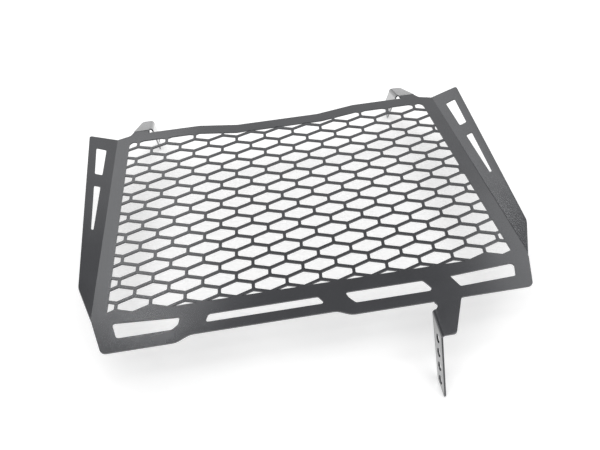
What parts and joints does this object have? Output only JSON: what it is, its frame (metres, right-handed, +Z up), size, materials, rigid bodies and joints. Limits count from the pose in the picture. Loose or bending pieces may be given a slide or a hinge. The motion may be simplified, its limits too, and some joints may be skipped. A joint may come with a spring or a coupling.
{
  "type": "motorcycle radiator guard",
  "caption": "Folded sheet guard with a hexagon mesh, forward-folded side wings, a slotted lower rim, upper mounting ears and a lower mounting foot.",
  "frame": {"origin": "on the surface the guard lies on, under the centre of its box", "axes": "+X to the right of someone who faces the guard's front at the foot's end, +Y towards the ears, +Z up, away from the radiator"},
  "size_m": [0.3826, 0.3578, 0.0615],
  "materials": {
    "powder_coat": "satin powder coat, fine orange peel, new"
  },
  "bodies": {
    "root": {"guard": "powder_coat"}
  },
  "joints": []
}
